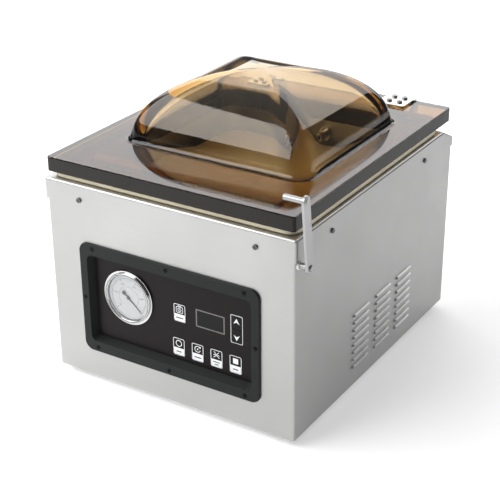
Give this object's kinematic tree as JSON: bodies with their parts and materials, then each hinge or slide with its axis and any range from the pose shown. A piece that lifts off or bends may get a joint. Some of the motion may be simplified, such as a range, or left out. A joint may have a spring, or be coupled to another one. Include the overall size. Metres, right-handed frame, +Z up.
{
  "type": "vacuum packing machine",
  "caption": "Table-top chamber vacuum packing machine: steel casing, domed amber lid on rear hinges, side hook, seal bar, gauge and key panel.",
  "frame": {"origin": "middle of the whole machine's footprint, hook included, at the level the feet stand on", "axes": "+X to the right seen from the control panel, +Y from the control panel to the rear, +Z up"},
  "size_m": [0.361, 0.4227, 0.3705],
  "materials": {
    "stainless_brushed": "satin",
    "stainless_polished": "polished",
    "screw_steel": "satin",
    "screw_black": "satin",
    "rubber_black": "matte",
    "bezel_plastic": "satin",
    "overlay_film": "satin",
    "display_smoke": "gloss",
    "board_green": "satin",
    "gauge_chrome": "polished",
    "gauge_black": "satin",
    "dial_white": "satin",
    "gauge_glass": "polished",
    "needle_black": "satin",
    "acrylic_bronze": "polished",
    "silicone_cream": "satin",
    "silicone_white": "satin",
    "aluminium_bar": "satin",
    "nichrome": "satin",
    "ptfe_tan": "satin",
    "filler_cream": "matte",
    "motor_paint": "satin",
    "pump_cast": "matte",
    "core_steel": "matte",
    "valve_brass": "satin",
    "plastic_black": "satin",
    "filter_paint": "satin"
  },
  "bodies": {
    "casing": {"base_pan": "stainless_brushed", "feet": "rubber_black", "foot_screws": "screw_steel", "casing_shell": "stainless_brushed", "rear_panel": "stainless_brushed", "top_cover": "stainless_brushed", "casing_screws": "screw_steel", "chamber_tub": "stainless_brushed", "filler_plate": "filler_cream", "vacuum_nozzle": "stainless_polished", "lift_cylinders": "aluminium_bar", "hinge_brackets": "stainless_brushed", "bracket_screws": "screw_steel", "hinge_pins": "stainless_polished", "lid_springs": "nichrome", "hook_bush": "silicone_white", "panel_bezel": "bezel_plastic", "bezel_screws": "screw_black", "panel_overlay": "overlay_film", "display_window": "display_smoke", "display_module": "plastic_black", "control_board": "board_green", "gauge_ring": "gauge_chrome", "gauge_case": "gauge_black", "gauge_dial": "dial_white", "gauge_lens": "gauge_glass", "power_inlet": "plastic_black", "power_switch": "plastic_black", "fan_frame": "plastic_black", "vacuum_pump": "pump_cast", "pump_motor": "motor_paint", "pump_mounts": "rubber_black", "exhaust_filter": "filter_paint", "seal_transformer": "core_steel", "solenoid_valves": "valve_brass", "vacuum_hose": "rubber_black"},
    "lid": {"lid_plate": "acrylic_bronze", "lid_dome": "acrylic_bronze", "lid_gasket": "silicone_cream", "counter_bar": "aluminium_bar", "silicone_strip": "silicone_white", "counter_bar_clips": "stainless_polished", "hinge_leaves": "stainless_polished", "leaf_screws": "screw_steel"},
    "hook": {"lid_hook": "stainless_polished"},
    "seal_lift": {"seal_bar": "aluminium_bar", "seal_wire": "nichrome", "seal_tape": "ptfe_tan", "lift_plungers": "stainless_polished"},
    "needle": {"gauge_needle": "needle_black"},
    "rocker": {"switch_rocker": "plastic_black"},
    "fan": {"fan_rotor": "plastic_black"},
    "pump_shaft": {"pump_rotor": "screw_steel"},
    "key_vacuum": {"key_vacuum": "overlay_film"},
    "key_start": {"key_start": "overlay_film"},
    "key_cycle": {"key_cycle": "overlay_film"},
    "key_seal": {"key_seal": "overlay_film"},
    "key_stop": {"key_stop": "overlay_film"},
    "key_up": {"key_up": "overlay_film"},
    "key_down": {"key_down": "overlay_film"}
  },
  "joints": [
    {"name": "lid_hinge", "type": "hinge", "parent": "casing", "child": "lid", "pos_m": [-0.0068, 0.2045, 0.271], "axis": [-1, 0, 0], "range_deg": [0, 60]},
    {"name": "hook_pivot", "type": "hinge", "parent": "casing", "child": "hook", "pos_m": [0.1632, -0.1955, 0.232], "axis": [1, 0, 0], "range_deg": [-12, 165]},
    {"name": "seal_bar_lift", "type": "slide", "parent": "casing", "child": "seal_lift", "axis": [0, 0, 1], "range_m": [0, 0.0077]},
    {"name": "gauge_needle_turn", "type": "hinge", "parent": "casing", "child": "needle", "pos_m": [-0.0683, -0.196, 0.1287], "axis": [0, -1, 0], "range_deg": [0, 265], "stiffness_Nm_per_rad": 0.0005, "springref_deg": -17.19},
    {"name": "power_rocker", "type": "hinge", "parent": "casing", "child": "rocker", "pos_m": [-0.0808, 0.199, 0.052], "axis": [1, 0, 0], "range_deg": [-14, 0]},
    {"name": "fan_spin", "type": "hinge", "parent": "casing", "child": "fan", "pos_m": [0.0772, 0.188, 0.15], "axis": [0, 1, 0], "continuous": true},
    {"name": "pump_spin", "type": "hinge", "parent": "casing", "child": "pump_shaft", "pos_m": [-0.0768, 0.07, 0.078], "axis": [1, 0, 0], "continuous": true},
    {"name": "key_vacuum_press", "type": "slide", "parent": "casing", "child": "key_vacuum", "axis": [0, 1, 0], "range_m": [0, 0.0005], "stiffness_N_per_m": 800, "springref_m": -0.0005},
    {"name": "key_start_press", "type": "slide", "parent": "casing", "child": "key_start", "axis": [0, 1, 0], "range_m": [0, 0.0005], "stiffness_N_per_m": 800, "springref_m": -0.0005},
    {"name": "key_cycle_press", "type": "slide", "parent": "casing", "child": "key_cycle", "axis": [0, 1, 0], "range_m": [0, 0.0005], "stiffness_N_per_m": 800, "springref_m": -0.0005},
    {"name": "key_seal_press", "type": "slide", "parent": "casing", "child": "key_seal", "axis": [0, 1, 0], "range_m": [0, 0.0005], "stiffness_N_per_m": 800, "springref_m": -0.0005},
    {"name": "key_stop_press", "type": "slide", "parent": "casing", "child": "key_stop", "axis": [0, 1, 0], "range_m": [0, 0.0005], "stiffness_N_per_m": 800, "springref_m": -0.0005},
    {"name": "key_up_press", "type": "slide", "parent": "casing", "child": "key_up", "axis": [0, 1, 0], "range_m": [0, 0.0005], "stiffness_N_per_m": 800, "springref_m": -0.0005},
    {"name": "key_down_press", "type": "slide", "parent": "casing", "child": "key_down", "axis": [0, 1, 0], "range_m": [0, 0.0005], "stiffness_N_per_m": 800, "springref_m": -0.0005}
  ]
}
